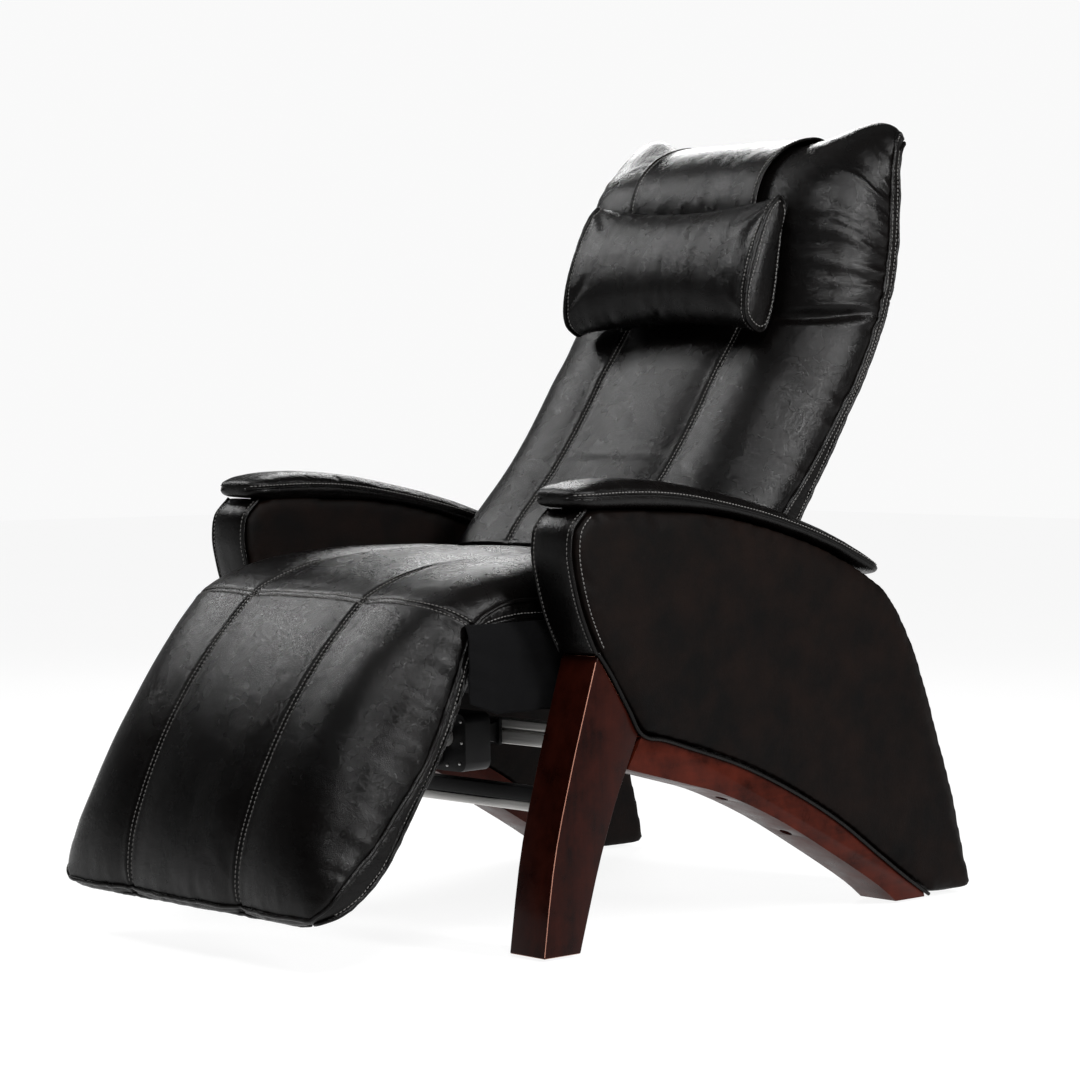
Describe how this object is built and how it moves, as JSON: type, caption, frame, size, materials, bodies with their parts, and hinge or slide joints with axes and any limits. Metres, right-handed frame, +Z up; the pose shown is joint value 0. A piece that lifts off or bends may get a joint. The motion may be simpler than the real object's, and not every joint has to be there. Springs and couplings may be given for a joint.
{
  "type": "zero gravity recliner",
  "caption": "Power zero gravity recliner: padded seat, back and leg rest that tilt together on an arched wooden base with upholstered arms and a sliding head pillow.",
  "frame": {"origin": "centre of the footprint of the upright chair, on the floor", "axes": "+Z up, the sitter faces -Y, +X is the sitter's left"},
  "size_m": [0.78, 1.1856, 1.1588],
  "materials": {
    "black_leather": "satin",
    "panel_leather": "satin",
    "cherry_wood": "satin",
    "black_steel": "satin",
    "zinc_steel": "satin",
    "aluminium": "satin",
    "black_plastic": "matte",
    "black_fabric": "matte"
  },
  "bodies": {
    "base": {"left_front_leg": "cherry_wood", "right_front_leg": "cherry_wood", "left_arch_rail": "cherry_wood", "right_arch_rail": "cherry_wood", "left_arm_panel": "panel_leather", "right_arm_panel": "panel_leather", "left_arm_front_strip": "black_leather", "right_arm_front_strip": "black_leather", "left_arm_pad": "black_leather", "right_arm_pad": "black_leather", "left_front_glide": "black_plastic", "right_front_glide": "black_plastic", "left_rear_glide": "black_plastic", "right_rear_glide": "black_plastic", "left_front_arch_bolt": "zinc_steel", "right_front_arch_bolt": "zinc_steel", "left_rear_arch_bolt": "zinc_steel", "right_rear_arch_bolt": "zinc_steel", "front_cross_bar": "black_steel", "front_bar_trim": "aluminium", "upper_cross_rail": "aluminium", "rear_cross_rail": "cherry_wood", "left_pivot_bracket": "black_steel", "right_pivot_bracket": "black_steel", "actuator_bracket": "black_steel", "control_box": "black_plastic"},
    "seat": {"left_seat_rail": "black_steel", "right_seat_rail": "black_steel", "left_knee_pin": "black_steel", "right_knee_pin": "black_steel", "left_back_pin": "black_steel", "right_back_pin": "black_steel", "seat_front_tube": "black_steel", "seat_rear_tube": "black_steel", "seat_deck": "black_fabric", "dust_cover": "black_fabric", "seat_cushion": "black_leather"},
    "back": {"back_shell": "black_leather", "left_back_rail": "black_steel", "right_back_rail": "black_steel", "back_top_tube": "black_steel", "lumbar_tube": "black_steel", "back_cushion": "black_leather", "head_cushion": "black_leather", "pillow_strap": "black_leather"},
    "pillow": {"head_pillow": "black_leather"},
    "counterweight": {"pillow_counterweight": "black_leather"},
    "leg": {"leg_shell": "black_leather", "left_leg_rail": "black_steel", "right_leg_rail": "black_steel", "leg_cross_tube": "black_steel", "leg_cushion": "black_leather"},
    "leg_links": {"left_leg_link": "black_steel", "right_leg_link": "black_steel"},
    "back_links": {"left_back_link": "black_steel", "right_back_link": "black_steel"},
    "actuator": {"actuator_gearbox": "black_plastic", "actuator_motor": "black_steel", "actuator_tube": "aluminium"},
    "actuator_ram": {"actuator_rod": "zinc_steel"}
  },
  "joints": [
    {"name": "recline", "type": "hinge", "parent": "base", "child": "seat", "pos_m": [0, 0.06852, 0.33], "axis": [-1, 0, 0], "range_deg": [0, 20]},
    {"name": "leg_rest_lift", "type": "hinge", "parent": "seat", "child": "leg", "pos_m": [0, -0.31348, 0.412], "axis": [-1, 0, 0], "range_deg": [0, 32]},
    {"name": "back_recline", "type": "hinge", "parent": "seat", "child": "back", "pos_m": [0, 0.20852, 0.405], "axis": [-1, 0, 0], "range_deg": [0, 10]},
    {"name": "leg_link_swing", "type": "hinge", "parent": "base", "child": "leg_links", "pos_m": [0, 0.04212, 0.3865], "axis": [-1, 0, 0], "range_deg": [0, 23.6]},
    {"name": "back_link_swing", "type": "hinge", "parent": "base", "child": "back_links", "pos_m": [0, 0.10312, 0.3103], "axis": [-1, 0, 0], "range_deg": [0, 18]},
    {"name": "actuator_swing", "type": "hinge", "parent": "base", "child": "actuator", "pos_m": [0, -0.05948, 0.258], "axis": [-1, 0, 0], "range_deg": [0, 32.6]},
    {"name": "ram_extend", "type": "slide", "parent": "actuator", "child": "actuator_ram", "axis": [0, -0.9999, -0.0155], "range_m": [0, 0.118]},
    {"name": "pillow_slide", "type": "slide", "parent": "back", "child": "pillow", "axis": [0, 0.1457, 0.9893], "range_m": [-0.02, 0.08]},
    {"name": "counterweight_slide", "type": "slide", "parent": "back", "child": "counterweight", "axis": [0, 0.506, 0.8625], "range_m": [-0.08, 0.02]}
  ],
  "couplings": [
    {"joint": "leg_rest_lift", "follows": "recline", "ratio": 1.6},
    {"joint": "back_recline", "follows": "recline", "ratio": 0.5},
    {"joint": "leg_link_swing", "follows": "recline", "ratio": 1.178},
    {"joint": "back_link_swing", "follows": "recline", "ratio": 0.897},
    {"joint": "actuator_swing", "follows": "recline", "ratio": 1.625},
    {"joint": "ram_extend", "follows": "recline", "m_per_rad": 0.3369},
    {"joint": "counterweight_slide", "follows": "pillow_slide", "ratio": -1}
  ]
}
